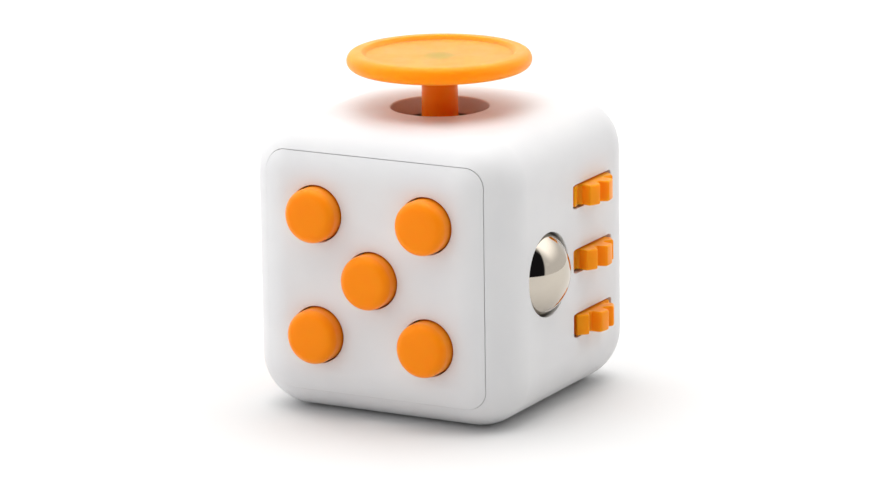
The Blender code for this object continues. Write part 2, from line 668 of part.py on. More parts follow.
def make_stick():
    pivot = STICK_PIVOT
    nose = (DISC_TOP - DISC_BOTTOM) / 2
    dish = DISC_TOP - DISC_DISH
    socket_radius = SPIGOT_RADIUS + 0.00006
    socket_top = DISC_BOTTOM + SPIGOT_LENGTH
    rim = [(DISC_RADIUS - nose + x, DISC_BOTTOM + nose + z) for x, z in arc(nose, pi / 2, -pi / 2, 6)]
    cap = [(0.0, dish), (DISC_DISH_RADIUS, dish), (DISC_DISH_RADIUS + 0.0004, DISC_TOP)] + rim
    cap += [(socket_radius, DISC_BOTTOM), (socket_radius, socket_top), (0.0, socket_top)]
    turned("glide_cap", [(radius, height - pivot.z) for radius, height in cap], 32, ORANGE, pivot, ALONG_Z)

    neck = DISC_BOTTOM - REST_GAP - pivot.z
    spigot_end = neck + SPIGOT_LENGTH
    spigot = [(0.0, spigot_end), (SPIGOT_RADIUS, spigot_end), (SPIGOT_RADIUS, neck), (POST_RADIUS, neck)]
    outer = dome_arc(DOME_RADIUS, asin(POST_RADIUS / DOME_RADIUS), DOME_REACH)
    inside = DOME_RADIUS - DOME_THICKNESS
    inner = dome_arc(inside, DOME_REACH, asin(POST_RADIUS / inside))
    foot_top = 0.0008 - STICK_FOOT_DEPTH
    shoulder = POST_RADIUS - STICK_TAIL_RADIUS
    tail = [
        (POST_RADIUS, -OVERSHOOT),
        (STICK_TAIL_RADIUS, -OVERSHOOT - shoulder),
        (STICK_TAIL_RADIUS, foot_top),
        (STICK_FOOT_RADIUS, foot_top),
        (STICK_FOOT_RADIUS, -STICK_FOOT_DEPTH),
        (0.0, -STICK_FOOT_DEPTH),
    ]
    post = turned("glide_post", spigot + outer + inner + tail, 20, ORANGE, pivot, ALONG_Z)
    reach = RING_OUTER - 0.0003
    across = Vector((reach, 0, 0))
    join(post, cylinder("post_pins", PIVOT_PIN_RADIUS, pivot - across, pivot + across, 12))

    ring_profile = [
        (RING_INNER, -RING_HALF_HEIGHT),
        (RING_INNER, RING_HALF_HEIGHT),
        (RING_OUTER, RING_HALF_HEIGHT),
        (RING_OUTER, -RING_HALF_HEIGHT),
        (RING_INNER, -RING_HALF_HEIGHT),
    ]
    ring = turned("gimbal_ring", ring_profile, 24, GREY, pivot, ALONG_Z)
    across = Vector((RING_OUTER + OVERSHOOT, 0, 0))
    cut(ring, cylinder("ring_hole", PIVOT_HOLE_RADIUS, pivot - across, pivot + across, 12))
    inner_end = (RING_INNER + RING_OUTER) / 2
    outer_end = FRAME_LEG_OUTSIDE - 0.0002
    for number, side in enumerate((-1, 1), 1):
        start = pivot + Vector((0, side * inner_end, 0))
        end = pivot + Vector((0, side * outer_end, 0))
        join(ring, cylinder(f"ring_pin_{number}", PIVOT_PIN_RADIUS, start, end, 12))

    low = (-FRAME_HALF_WIDTH, -FRAME_LEG_OUTSIDE, FRAME_BASE_TOP - FRAME_BASE)
    high = (FRAME_HALF_WIDTH, FRAME_LEG_OUTSIDE, FRAME_FOOT[1])
    frame = box("stick_frame", low, high, GREY)
    aside = FRAME_HALF_WIDTH + OVERSHOOT
    low = (-aside, -FRAME_LEG_INSIDE, FRAME_BASE_TOP)
    high = (aside, FRAME_LEG_INSIDE, FRAME_FOOT[1] + OVERSHOOT)
    cut(frame, box("stick_frame_inside", low, high))
    for number, side in enumerate((-1, 1), 1):
        near = side * (FRAME_LEG_INSIDE + 0.0002)
        far = side * (STICK_SCREW_PLACE + 0.0012)
        corner = (-FRAME_HALF_WIDTH, near, FRAME_FOOT[0])
        join(frame, box(f"stick_foot_{number}", corner, (FRAME_HALF_WIDTH, far, FRAME_FOOT[1])))
    across = Vector((0, FRAME_LEG_OUTSIDE + OVERSHOOT, 0))
    cut(frame, cylinder("frame_hole", PIVOT_HOLE_RADIUS, pivot - across, pivot + across, 12))
    for number, side in enumerate((-1, 1), 1):
        y = side * STICK_SCREW_PLACE
        screw_hole(frame, f"stick_foot_hole_{number}", (0, y, FRAME_FOOT[0]), (0, 0, 1))
        screw(f"stick_screw_{number}", (0, y, FRAME_FOOT[0] - REST_GAP), STICK_SCREW_LENGTH, TOP_DOWN)

    base = FRAME_BASE_TOP + REST_GAP
    length = pivot.z - STICK_FOOT_DEPTH - REST_GAP - base
    coil("stick_spring", STICK_COIL_RADIUS, STICK_WIRE_RADIUS, length, 4.5, (0, 0, base), ALONG_Z)


def dome_arc(radius, first, last):
    steps = 5
    arc = []
    for index in range(steps + 1):
        angle = first + (last - first) * index / steps
        arc.append((radius * sin(angle), radius * cos(angle)))
    return arc


def make_dial():
    centre = Vector((0, 0, MIDDLE))
    front = -DIAL_FACE
    back = -DIAL_RECESS_FLOOR + REST_GAP
    inside = INNER_HALF - 0.0004
    profile = [
        (0.0, front - DIAL_DISH),
        (DIAL_RADIUS - 0.0016, front - DIAL_DISH),
        (DIAL_RADIUS - 0.0010, front),
        (DIAL_RADIUS - 0.0004, front),
        (DIAL_RADIUS, front - 0.0004),
        (DIAL_RADIUS, back),
        (DIAL_HUB_RADIUS, back),
        (DIAL_HUB_RADIUS, inside),
        (0.0, inside),
    ]
    dial = turned("spin_dial", profile, 32, ORANGE, centre, TOP_LEFT)
    start = (DIAL_NUB_END, 0, MIDDLE + DIAL_NUB_PLACE)
    end = (DIAL_FACE + 0.001, 0, MIDDLE + DIAL_NUB_PLACE)
    join(dial, cylinder("dial_nub", DIAL_NUB_RADIUS, start, end, 18, chamfer=0.0004))
    start = (DIAL_FACE + 0.0008, 0, MIDDLE)
    end = (-inside + OVERSHOOT, 0, MIDDLE)
    cut(dial, cylinder("dial_screw_hole", SCREW_HOLE_RADIUS, start, end, 10))
    washer_front = inside - REST_GAP
    washer_back = washer_front - DIAL_WASHER_THICKNESS
    washer = [
        (SCREW_HOLE_RADIUS, washer_back),
        (SCREW_HOLE_RADIUS, washer_front),
        (DIAL_WASHER_RADIUS, washer_front),
        (DIAL_WASHER_RADIUS, washer_back),
        (SCREW_HOLE_RADIUS, washer_back),
    ]
    turned("dial_washer", washer, 18, SCREWS, centre, TOP_LEFT)
    screw("dial_screw", (-washer_back + REST_GAP, 0, MIDDLE), DIAL_SCREW_LENGTH, ALONG_X)


def arc(radius, first, last, steps):
    """Points (across, out) along an arc about the origin. Angles run from across towards out."""
    angles = [first + (last - first) * index / steps for index in range(steps + 1)]
    return [(radius * cos(angle), radius * sin(angle)) for angle in angles]


def rocker_outline():
    """A dished face whose ends wrap round the pivot in skirts that close the opening, and a pin hub."""
    skirt_inside = ROCKER_END_RADIUS - ROCKER_SKIRT
    tip_angle = asin(ROCKER_TIP / ROCKER_END_RADIUS)
    skirt = arc(ROCKER_END_RADIUS, ROCKER_SKIRT_END, tip_angle, 5)
    inside = arc(skirt_inside, asin(ROCKER_UNDERSIDE / skirt_inside), ROCKER_SKIRT_END, 3)
    half_length = skirt[-1][0]
    rise = ROCKER_TIP - ROCKER_VALLEY
    half_face = [(half_length * share, ROCKER_VALLEY + rise * share * share) for share in (2 / 3, 1 / 3)]
    nose = arc(ROCKER_HUB_RADIUS, radians(-90), radians(-30), 2)
    half = nose + [(ROCKER_HUB_RADIUS + REST_GAP, ROCKER_UNDERSIDE)] + inside + skirt + half_face
    mirrored = [(-across, out) for across, out in reversed(half[1:])]
    return half + [(0.0, ROCKER_VALLEY)] + mirrored


def leaf_height(share):
    """How far behind the cube's centre the bowed leaf spring lies, at a share of its half length."""
    return LEAF_PLACE + LEAF_BOW * (1 - share * share)


def make_rocker():
    pivot = ROCKER_PIVOT
    outline = rocker_outline()
    half = ROCKER_HALF_WIDTH
    rocker = extruded("flip_rocker", outline, -half, half, ORANGE, pivot, UP_THE_BACK)
    rocker.rotation_euler.rotate_axis("Z", ROCKER_TILT)
    across = Vector((ROCKER_PIN_HALF, 0, 0))
    cut(rocker, cylinder("rocker_bore", ROCKER_HOLE_RADIUS, pivot - across, pivot + across, 16))
    cylinder("rocker_pin", ROCKER_PIN_RADIUS, pivot - across, pivot + across, 16, STEEL)

    leaf = [(LEAF_HALF_LENGTH * step / 4, leaf_height(step / 4)) for step in range(4, -5, -1)]
    leaf += [(x, y - LEAF_THICKNESS) for x, y in reversed(leaf)]
    width = LEAF_HALF_WIDTH
    extruded("rocker_leaf", leaf, -width, width, SPRING, (0, 0, MIDDLE), UP_THE_BACK)

    low = (-ROCKER_FRAME_HALF, 0.0102, MIDDLE - 0.0040)
    high = (ROCKER_FRAME_HALF, 0.0143, MIDDLE + 0.0040)
    frame = box("rocker_frame", low, high, GREY)
    low = (-ROCKER_FRAME_INSIDE, 0.0110, MIDDLE - 0.0050)
    high = (ROCKER_FRAME_INSIDE, 0.0160, MIDDLE + 0.0050)
    cut(frame, box("rocker_frame_inside", low, high))
    across *= 1.2
    cut(frame, cylinder("rocker_frame_bore", ROCKER_HOLE_RADIUS, pivot - across, pivot + across, 16))
    foot = ROCKER_FOOT_BACK - ROCKER_FOOT_THICKNESS
    end = ROCKER_SCREW_PLACE + SCREW_FOOT
    inside, outside = STRAP_RISERS
    near = [(end, ROCKER_FOOT_BACK), (inside, ROCKER_FOOT_BACK), (inside, STRAP_FRONT)]
    far = [(outside, STRAP_BACK), (outside, foot), (end, foot)]
    strap = near + [(-x, y) for x, y in reversed(near)] + [(-x, y) for x, y in reversed(far)] + far
    width = STRAP_HALF_WIDTH
    join(frame, extruded("rocker_strap", strap, -width, width, None, (0, 0, MIDDLE), UP_THE_BACK))
    for number, side in enumerate((-1, 1), 1):
        z = MIDDLE + side * ROCKER_SCREW_PLACE
        screw_hole(frame, f"rocker_foot_hole_{number}", (0, foot, z), (0, 1, 0))
        screw(f"rocker_screw_{number}", (0, foot - REST_GAP, z), ROCKER_SCREW_LENGTH, TOP_FRONT)


make_body_shell()
make_front_panel()
make_buttons()
make_button_springs()
make_button_carrier()
make_ball()
make_wheels()
make_stick()
make_dial()
make_rocker()
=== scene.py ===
"""Looks for the fidget cube: fine surfaces, materials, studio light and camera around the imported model."""

import json
from math import asin, cos, pi, radians, sin, sqrt, tau

import bmesh
import bpy
from mathutils import Matrix, Vector


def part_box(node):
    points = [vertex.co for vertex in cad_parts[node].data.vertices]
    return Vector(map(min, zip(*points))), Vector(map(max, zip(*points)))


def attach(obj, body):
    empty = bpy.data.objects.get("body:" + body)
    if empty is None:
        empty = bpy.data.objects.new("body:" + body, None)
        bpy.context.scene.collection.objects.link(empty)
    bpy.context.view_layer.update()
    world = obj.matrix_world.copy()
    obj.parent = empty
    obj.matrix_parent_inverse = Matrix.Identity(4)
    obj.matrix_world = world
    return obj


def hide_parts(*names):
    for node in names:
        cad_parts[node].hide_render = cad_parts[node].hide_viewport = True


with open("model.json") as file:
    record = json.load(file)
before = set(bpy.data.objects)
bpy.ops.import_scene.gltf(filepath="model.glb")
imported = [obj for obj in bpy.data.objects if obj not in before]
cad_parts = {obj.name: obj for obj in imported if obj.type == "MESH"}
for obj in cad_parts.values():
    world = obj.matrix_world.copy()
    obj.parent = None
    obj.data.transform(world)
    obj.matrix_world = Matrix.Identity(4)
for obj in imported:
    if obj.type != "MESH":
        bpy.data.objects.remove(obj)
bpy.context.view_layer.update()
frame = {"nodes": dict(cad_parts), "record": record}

MM = 0.001

# ---------------------------------------------------------------- camera

CAMERA_AZIMUTH = radians(28.46)
CAMERA_ELEVATION = radians(13.887)
CAMERA_ROLL = radians(-0.792)
CAMERA_DISTANCE = 569.1 * MM
CAMERA_LENS = 203.9
CAMERA_TARGET = Vector((0.326, 0.0, 16.346)) * MM


def make_camera():
    """A long lens, a little above the cube and to the right of its front."""
    az, el, roll = CAMERA_AZIMUTH, CAMERA_ELEVATION, CAMERA_ROLL
    back = Vector((sin(az) * cos(el), -cos(az) * cos(el), sin(el)))
    level = Vector((cos(az), sin(az), 0.0))
    upright = back.cross(level)
    right = level * cos(roll) + upright * sin(roll)
    up = upright * cos(roll) - level * sin(roll)
    data = bpy.data.cameras.new("camera")
    data.lens = CAMERA_LENS
    data.sensor_width = 36.0
    data.clip_start = 0.01
    data.clip_end = 20.0
    camera = bpy.data.objects.new("camera", data)
    turn = Matrix((right, up, back)).transposed().to_4x4()
    camera.matrix_world = Matrix.Translation(CAMERA_TARGET + back * CAMERA_DISTANCE) @ turn
    bpy.context.scene.collection.objects.link(camera)
    bpy.context.scene.camera = camera


make_camera()

# ---------------------------------------------------------------- sizes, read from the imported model


def span(node):
    """Centre and half size of a CAD node's box."""
    low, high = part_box(node)
    return (low + high) / 2, (high - low) / 2


SHELL_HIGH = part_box("body_shell")[1]
HALF = SHELL_HIGH.x
TOP = SHELL_HIGH.z
MIDDLE = TOP / 2
CUBE_LOW = Vector((-HALF, -HALF, 0.0))
CUBE_HIGH = Vector((HALF, HALF, TOP))
EDGE_RADIUS = 6.0 * MM
WALL = 2.0 * MM
PANEL_HALF = span("front_panel")[1].x
PANEL_CORNER = 2.4 * MM
PANEL_THICKNESS = 2.2 * MM
SEAM = 0.04 * MM
SEAT_SHIFT = (0.03 * MM, 0.03 * MM)  # the panel sits a hair low and left in its seat
BUTTONS = [f"button_{number}" for number in range(1, 6)]
WHEELS = [f"roll_wheel_{number}" for number in range(1, 4)]
BALL_CENTRE, BALL_HALF = span("steel_ball")
BALL_RADIUS = BALL_HALF.z

# Each face of the cube: a point on it, the directions across and up it, and its outward normal.
FACES = {
    "front": (Vector((0, -HALF, MIDDLE)), Vector((1, 0, 0)), Vector((0, 0, 1)), Vector((0, -1, 0))),
    "right": (Vector((HALF, 0, MIDDLE)), Vector((0, 1, 0)), Vector((0, 0, 1)), Vector((1, 0, 0))),
    "back": (Vector((0, HALF, MIDDLE)), Vector((-1, 0, 0)), Vector((0, 0, 1)), Vector((0, 1, 0))),
    "left": (Vector((-HALF, 0, MIDDLE)), Vector((0, -1, 0)), Vector((0, 0, 1)), Vector((-1, 0, 0))),
    "top": (Vector((0, 0, TOP)), Vector((1, 0, 0)), Vector((0, 1, 0)), Vector((0, 0, 1))),
    "bottom": (Vector((0, 0, 0)), Vector((-1, 0, 0)), Vector((0, 1, 0)), Vector((0, 0, -1))),
}

# ---------------------------------------------------------------- mesh tools

ROUND_STEPS = 96
CORNER_STEPS = 10
ARC_STEPS = 8
ON_AXIS = 1e-7
SHARP_ANGLE = radians(35)


def circle(radius, steps=ROUND_STEPS):
    return [(radius * cos(tau * i / steps), radius * sin(tau * i / steps)) for i in range(steps)]


def rounded_rectangle(half_width, half_height, corner):
    points = []
    for quarter, (side, end) in enumerate(((1, 1), (-1, 1), (-1, -1), (1, -1))):
        for step in range(CORNER_STEPS + 1):
            angle = (quarter + step / CORNER_STEPS) * pi / 2
            across = side * (half_width - corner) + corner * cos(angle)
            up = end * (half_height - corner) + corner * sin(angle)
            points.append((across, up))
    return points


def loft(name, loops):
    """A closed mesh through loops of points, each with as many points as the others, capped at both ends."""
    shape = bmesh.new()
    rings = [[shape.verts.new(point) for point in loop] for loop in loops]
    for first, second in zip(rings, rings[1:]):
        for i in range(len(first)):
            j = (i + 1) % len(first)
            shape.faces.new((first[i], first[j], second[j], second[i]))
    shape.faces.new(list(reversed(rings[0])))
    shape.faces.new(rings[-1])
    bmesh.ops.recalc_face_normals(shape, faces=shape.faces)
    return as_object(name, shape)


def as_object(name, shape):
    mesh = bpy.data.meshes.new(name)
    shape.to_mesh(mesh)
    shape.free()
    obj = bpy.data.objects.new(name, mesh)
    bpy.context.scene.collection.objects.link(obj)
    return obj


def face_loft(name, face, place, outline, levels):
    """A loft that stands on a face of the cube. outline(offset) gives its points across and up the face,
    and each level is (offset, height above the face)."""
    origin, across, up, out = FACES[face]
    middle = origin + across * place[0] + up * place[1]
    loops = []
    for offset, height in levels:
        loops.append([middle + across * a + up * u + out * height for a, u in outline(offset)])
    return loft(name, loops)


def lathe(name, profile, centre, axis, steps=ROUND_STEPS):
    """A turned solid. profile is (radius, height along the axis) from one end to the other."""
    axis = Vector(axis).normalized()
    across = axis.orthogonal().normalized()
    up = axis.cross(across)
    shape = bmesh.new()
    rings = []
    for radius, height in profile:
        middle = centre + axis * height
        if radius < ON_AXIS:
            rings.append([shape.verts.new(middle)])
        else:
            rings.append([shape.verts.new(middle + across * a + up * u) for a, u in circle(radius, steps)])
    for first, second in zip(rings, rings[1:]):
        for i in range(steps):
            j = (i + 1) % steps
            places = ((first, i), (first, j), (second, j), (second, i))
            corners = [ring[place % len(ring)] for ring, place in places]
            shape.faces.new(list(dict.fromkeys(corners)))
    bmesh.ops.recalc_face_normals(shape, faces=shape.faces)
    return as_object(name, shape)


def rounded_path(points, steps=ARC_STEPS):
    """A path of (radius, height, rounding) whose corners are arcs of the rounding given."""
    path = []
    for index, (x, y, rounding) in enumerate(points):
        corner = Vector((x, y))
        if rounding == 0 or index in (0, len(points) - 1):
            path.append((x, y))
            continue
        before = Vector(points[index - 1][:2]) - corner
        after = Vector(points[index + 1][:2]) - corner
        half_angle = before.angle(after) / 2
        before.normalize()
        after.normalize()
        reach = rounding / sin(half_angle) * cos(half_angle)
        centre = corner + (before + after).normalized() * (rounding / sin(half_angle))
        first = corner + before * reach - centre
        last = corner + after * reach - centre
        swing = first.angle_signed(last)
        for step in range(steps + 1):
            turned = first.copy()
            turned.rotate(Matrix.Rotation(-swing * step / steps, 2))
            path.append(tuple(centre + turned))
    return path


def rounded_block(name, low, high, radius, segments):
    shape = bmesh.new()
    bmesh.ops.create_cube(shape, size=1.0)
    bmesh.ops.scale(shape, vec=high - low, verts=shape.verts)
    bmesh.ops.translate(shape, vec=(low + high) / 2, verts=shape.verts)
    everything = shape.edges[:] + shape.verts[:]
    bmesh.ops.bevel(shape, geom=everything, offset=radius, segments=segments, profile=0.5, affect="EDGES")
    return as_object(name, shape)


def combine(target, operation, others):
    """Booleans the others into target, which keeps its name, and removes them."""
    for other in others:
        modifier = target.modifiers.new(other.name, "BOOLEAN")
        modifier.operation = operation
        modifier.object = other
        modifier.solver = "EXACT"
    settle(target)
    for other in others:
        bpy.data.objects.remove(other)


def settle(obj):
    """Applies an object's modifiers."""
    graph = bpy.context.evaluated_depsgraph_get()
    mesh = bpy.data.meshes.new_from_object(obj.evaluated_get(graph), depsgraph=graph)
    obj.modifiers.clear()
    obj.data = mesh


def smooth(obj):
    """Smooth shading whose large flat faces stay flat."""
    obj.data.shade_smooth()
    obj.data.set_sharp_from_angle(angle=SHARP_ANGLE)
    weighted = obj.modifiers.new("weighted", "WEIGHTED_NORMAL")
    weighted.mode = "FACE_AREA"
    weighted.keep_sharp = True
    settle(obj)


def finish_piece(obj, material, body, slot, *nodes):
    obj.data.materials.clear()
    obj.data.materials.append(material)
    smooth(obj)
    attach(obj, body)
    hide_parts(*nodes)


# ---------------------------------------------------------------- materials


def new_material(name):
    material = bpy.data.materials.new(name)
    material.use_nodes = True
    tree = material.node_tree
    return material, tree, tree.nodes["Principled BSDF"]


def add_noise(tree, scale, detail, roughness=0.5):
    coordinates = tree.nodes.new("ShaderNodeTexCoord")
    noise = tree.nodes.new("ShaderNodeTexNoise")
    noise.inputs["Scale"].default_value = scale
    noise.inputs["Detail"].default_value = detail
    noise.inputs["Roughness"].default_value = roughness
    tree.links.new(coordinates.outputs["Object"], noise.inputs["Vector"])
    return noise


NOISE_LOW, NOISE_HIGH = 0.3, 0.7  # where nearly all of a noise's values lie


def add_range(tree, source, low, high):
    """Maps a noise's values on to a range."""
    mapping = tree.nodes.new("ShaderNodeMapRange")
    mapping.inputs["From Min"].default_value = NOISE_LOW
    mapping.inputs["From Max"].default_value = NOISE_HIGH
    mapping.inputs["To Min"].default_value = low
    mapping.inputs["To Max"].default_value = high
    tree.links.new(source, mapping.inputs["Value"])
    return mapping.outputs["Result"]


def add_ramp(tree, source, stops):
    ramp = tree.nodes.new("ShaderNodeValToRGB")
    elements = ramp.color_ramp.elements
    while len(elements) < len(stops):
        elements.new(0.5)
    for element, (place, colour) in zip(elements, stops):
        element.position = place
        element.color = (*colour, 1.0)
    tree.links.new(source, ramp.inputs["Fac"])
    return ramp.outputs["Color"]


def add_bump(tree, source, strength, distance, over=None):
    """Bumps from a height, on top of another bump's normal if one is given."""
    bump = tree.nodes.new("ShaderNodeBump")
    bump.inputs["Strength"].default_value = strength
    bump.inputs["Distance"].default_value = distance
    tree.links.new(source, bump.inputs["Height"])
    if over:
        tree.links.new(over, bump.inputs["Normal"])
    return bump.outputs["Normal"]


SHINE_SPREAD = 0.05
PLASTIC_IOR = 1.49
PLAIN_GLOSS = (1.0, 1.0, 1.0)


def moulded_plastic(name, colour, shade, roughness, subsurface, radius, gloss_tint=PLAIN_GLOSS):
    """Satin moulded plastic: faint cloudiness, a fine spark-eroded grain, and a slightly varying shine."""
    material, tree, shader = new_material(name)
    cloud = add_noise(tree, scale=160.0, detail=2.0)
    cloudy_colour = add_ramp(tree, cloud.outputs["Fac"], ((0.35, shade), (0.65, colour)))
    tree.links.new(cloudy_colour, shader.inputs["Base Color"])
    patch = add_noise(tree, scale=420.0, detail=4.0)
    shine = add_range(tree, patch.outputs["Fac"], roughness - SHINE_SPREAD, roughness + SHINE_SPREAD)
    tree.links.new(shine, shader.inputs["Roughness"])
    grain = add_noise(tree, scale=7000.0, detail=2.0, roughness=0.6)
    waves = add_noise(tree, scale=300.0, detail=1.0)
    fine = add_bump(tree, grain.outputs["Fac"], strength=0.25, distance=0.006 * MM)
    broad = add_bump(tree, waves.outputs["Fac"], strength=0.3, distance=0.01 * MM, over=fine)
    tree.links.new(broad, shader.inputs["Normal"])
    shader.inputs["Specular Tint"].default_value = (*gloss_tint, 1.0)
    shader.inputs["Subsurface Weight"].default_value = subsurface
    shader.inputs["Subsurface Radius"].default_value = radius
    shader.inputs["Subsurface Scale"].default_value = 1.0 * MM
    shader.inputs["IOR"].default_value = PLASTIC_IOR
    return material


METAL_SHINE = (0.8, 1.3)  # the least and most of a metal's roughness, as shares of it
SCRATCH_WIDTH = 0.02


def worn_metal(name, colour, dull, roughness, scratch_depth):
    """Metal with a shine that varies and a web of hair-fine scratches."""
    material, tree, shader = new_material(name)
    stain = add_noise(tree, scale=260.0, detail=5.0)
    stained_colour = add_ramp(tree, stain.outputs["Fac"], ((0.3, dull), (0.6, colour)))
    tree.links.new(stained_colour, shader.inputs["Base Color"])
    shine = add_range(tree, stain.outputs["Fac"], *(roughness * share for share in METAL_SHINE))
    tree.links.new(shine, shader.inputs["Roughness"])
    coordinates = tree.nodes.new("ShaderNodeTexCoord")
    scratches = tree.nodes.new("ShaderNodeTexVoronoi")
    scratches.feature = "DISTANCE_TO_EDGE"
    scratches.inputs["Scale"].default_value = 500.0
    scratches.inputs["Randomness"].default_value = 1.0
    tree.links.new(coordinates.outputs["Object"], scratches.inputs["Vector"])
    narrow = tree.nodes.new("ShaderNodeMapRange")
    narrow.inputs["From Max"].default_value = SCRATCH_WIDTH
    tree.links.new(scratches.outputs["Distance"], narrow.inputs["Value"])
    scratched = add_bump(tree, narrow.outputs["Result"], strength=0.15, distance=scratch_depth)
    tree.links.new(scratched, shader.inputs["Normal"])
    shader.inputs["Metallic"].default_value = 1.0
    return material


# How far light runs under the surface, in mm of red, green and blue.
WHITE_RADIUS = (1.0, 0.9, 0.8)
ORANGE_RADIUS = (3.0, 0.9, 0.2)
CLEAR_RADIUS = (12.0, 2.5, 0.3)
ORANGE_GLOSS = (0.8, 0.35, 0.1)

# Each plastic has its colour and its shade, its roughness, and how much of the light runs under the surface.
WHITE = moulded_plastic("white_plastic", (0.73, 0.73, 0.735), (0.71, 0.71, 0.72), 0.42, 0.05, WHITE_RADIUS)
ORANGE = moulded_plastic(
    "orange_plastic", (0.95, 0.27, 0.006), (0.93, 0.255, 0.005), 0.38, 0.5, ORANGE_RADIUS, ORANGE_GLOSS
)
# The disc is the same orange plastic as the buttons, coloured lighter and yellower as painted light; its
# stronger subsurface is the plastic's own.
DISC_LIT_ORANGE = moulded_plastic(
    "disc_plastic_painted_light", (0.98, 0.31, 0.008), (0.96, 0.295, 0.007), 0.38, 1.0, CLEAR_RADIUS, ORANGE_GLOSS
)
# The wheels are the same orange plastic as the buttons, coloured lighter and yellower as painted light; their
# stronger subsurface is the plastic's own.
WHEEL_LIT_ORANGE = moulded_plastic(
    "wheel_plastic", (0.96, 0.32, 0.009), (0.94, 0.305, 0.008), 0.36, 0.6, ORANGE_RADIUS, ORANGE_GLOSS
)
# The post is the same orange plastic as the buttons, coloured a deeper red as painted shade under the disc;
# its strong subsurface is the plastic's own.
POST_SHADED_ORANGE = moulded_plastic(
    "post_plastic_painted_shade", (0.99, 0.21, 0.004), (0.97, 0.195, 0.004), 0.40, 1.0, CLEAR_RADIUS, ORANGE_GLOSS
)
GREY = moulded_plastic("grey_plastic", (0.17, 0.17, 0.175), (0.15, 0.15, 0.155), 0.52, 0.0, WHITE_RADIUS)
RUBBER = moulded_plastic("silicone_rubber", (0.10, 0.10, 0.10), (0.08, 0.08, 0.085), 0.70, 0.0, WHITE_RADIUS)

# Each metal has its colour and its dull patches' colour, its roughness and the depth of its scratches.
BALL_STEEL = worn_metal("polished_steel", (0.55, 0.50, 0.43), (0.52, 0.475, 0.41), 0.045, 0.0002 * MM)
SPRING_STEEL = worn_metal("spring_steel", (0.60, 0.61, 0.63), (0.50, 0.51, 0.53), 0.28, 0.002 * MM)
SCREW_STEEL = worn_metal("screw_steel", (0.66, 0.66, 0.67), (0.55, 0.55, 0.56), 0.32, 0.002 * MM)

CAD_SHARP_ANGLE = radians(40)
MATERIALS = {
    "white_plastic": WHITE,
    "orange_plastic": ORANGE,
    "grey_plastic": GREY,
    "silicone_rubber": RUBBER,
    "polished_steel": BALL_STEEL,
    "spring_steel": SPRING_STEEL,
    "screw_steel": SCREW_STEEL,
}


def dress_cad_nodes():
    """The inner pieces keep their CAD shapes and take the fine materials."""
    for part in frame["record"]["subparts"]:
        node = frame["nodes"][part["node"]]
        material = MATERIALS[part["material_slot"]]
        if node.data.materials:
            for index in range(len(node.data.materials)):
                node.data.materials[index] = material
        else:
            node.data.materials.append(material)
        node.data.shade_smooth()
        node.data.set_sharp_from_angle(angle=CAD_SHARP_ANGLE)


dress_cad_nodes()

# ---------------------------------------------------------------- housing

LIP_TURN = radians(78)
LIP_STEPS = 4
LIP_FLARE = 1.4  # a cutter starts this many lip radii out and this many up, clear of the surface
LIP_RISE = 1.6


def lip(depth, lip_radius):
    """Levels of a cutter that leaves a small rounded lip at the surface and runs straight down to depth."""
    levels = [(lip_radius * LIP_FLARE, lip_radius * LIP_RISE)]
    for step in range(LIP_STEPS + 1):
        angle = LIP_TURN * (1 - step / LIP_STEPS)
        levels.append((lip_radius * (1 - cos(angle)), lip_radius * (sin(angle) - sin(LIP_TURN))))
    return levels + [(0.0, -depth)]


def hole_in(face, name, place, radius, depth, lip_radius):
    return face_loft(name, face, place, lambda offset: circle(radius + offset), lip(depth, lip_radius))


def slot_in(face, name, place, half_size, corner, depth, lip_radius):
    def outline(offset):
        return rounded_rectangle(half_size[0] + offset, half_size[1] + offset, corner + offset)

    return face_loft(name, face, place, outline, lip(depth, lip_radius))


def bar(name, radius, start, end, steps=24):
    along = end - start
    profile = [(0, 0), (radius, 0), (radius, along.length), (0, along.length)]
    return lathe(name, profile, start, along, steps)


def ball_shape(name, radius, centre, axis, steps):
    count = steps // 2
    profile = [(radius * sin(pi * i / count), -radius * cos(pi * i / count)) for i in range(count + 1)]
    profile[0] = (0, -radius)
    profile[-1] = (0, radius)
    return lathe(name, profile, centre, axis, steps)


# The screws that go up into bosses, with the way each kind points.
SCREW_DIRECTIONS = {
    "stick": Vector((0, 0, 1)),
    "ball": Vector((1, 0, 0)),
    "cage": Vector((1, 0, 0)),
    "rocker": Vector((0, 1, 0)),
    "carrier": Vector((0, -1, 0)),
}
BOSS_RADIUS = 1.4 * MM
BOSS_ROOT = 2.2 * MM
SCREW_HOLE_RADIUS = 0.68 * MM
SCREW_HOLE_SPARE = 0.1 * MM
SHANK_IN_BOSS = 1.25 * MM


def screw_bosses(kinds, count):
    """The bosses that the inner screws go up into, and their holes. There are count screws of each kind."""
    bosses = []
    holes = []
    for kind in kinds:
        along = SCREW_DIRECTIONS[kind]
        for number in range(1, count + 1):
            screw = f"{kind}_screw_{number}"
            centre, half = span(screw)
            reach = abs(along.dot(half))
            face = centre + along * (reach - SHANK_IN_BOSS)
            tip = centre + along * (reach + SCREW_HOLE_SPARE)
            bosses.append(bar(screw + "_boss", BOSS_RADIUS, face, face + along * BOSS_ROOT))
            holes.append(bar(screw + "_hole", SCREW_HOLE_RADIUS, face - along * MM, tip))
    return bosses, holes


SHELL_SEGMENTS = 20
CAVITY_SEGMENTS = 6
SEAT_LIP = 0.03 * MM
PANEL_OPENING_HALF = 12.95 * MM
PANEL_OPENING_CORNER = 1.8 * MM
PANEL_OPENING_DEPTH = 8.5 * MM

DIMPLE_HALF = Vector((7.4, 6.0, 1.9)) * MM
DIMPLE_PAD_BOTTOM = 1.0 * MM
DIMPLE_PAD_TOP = 3.0 * MM
DIMPLE_STEPS = 24
DIMPLE_OUTSIDE = 1.06  # the cutter starts outside the rim and narrows nearly to a point
DIMPLE_NARROWING = 1.05
DIMPLE_SOFTENING = 0.12 * MM
DIMPLE_SOFT_FROM = 0.9
DIMPLE_SOFT_OVER = 0.16

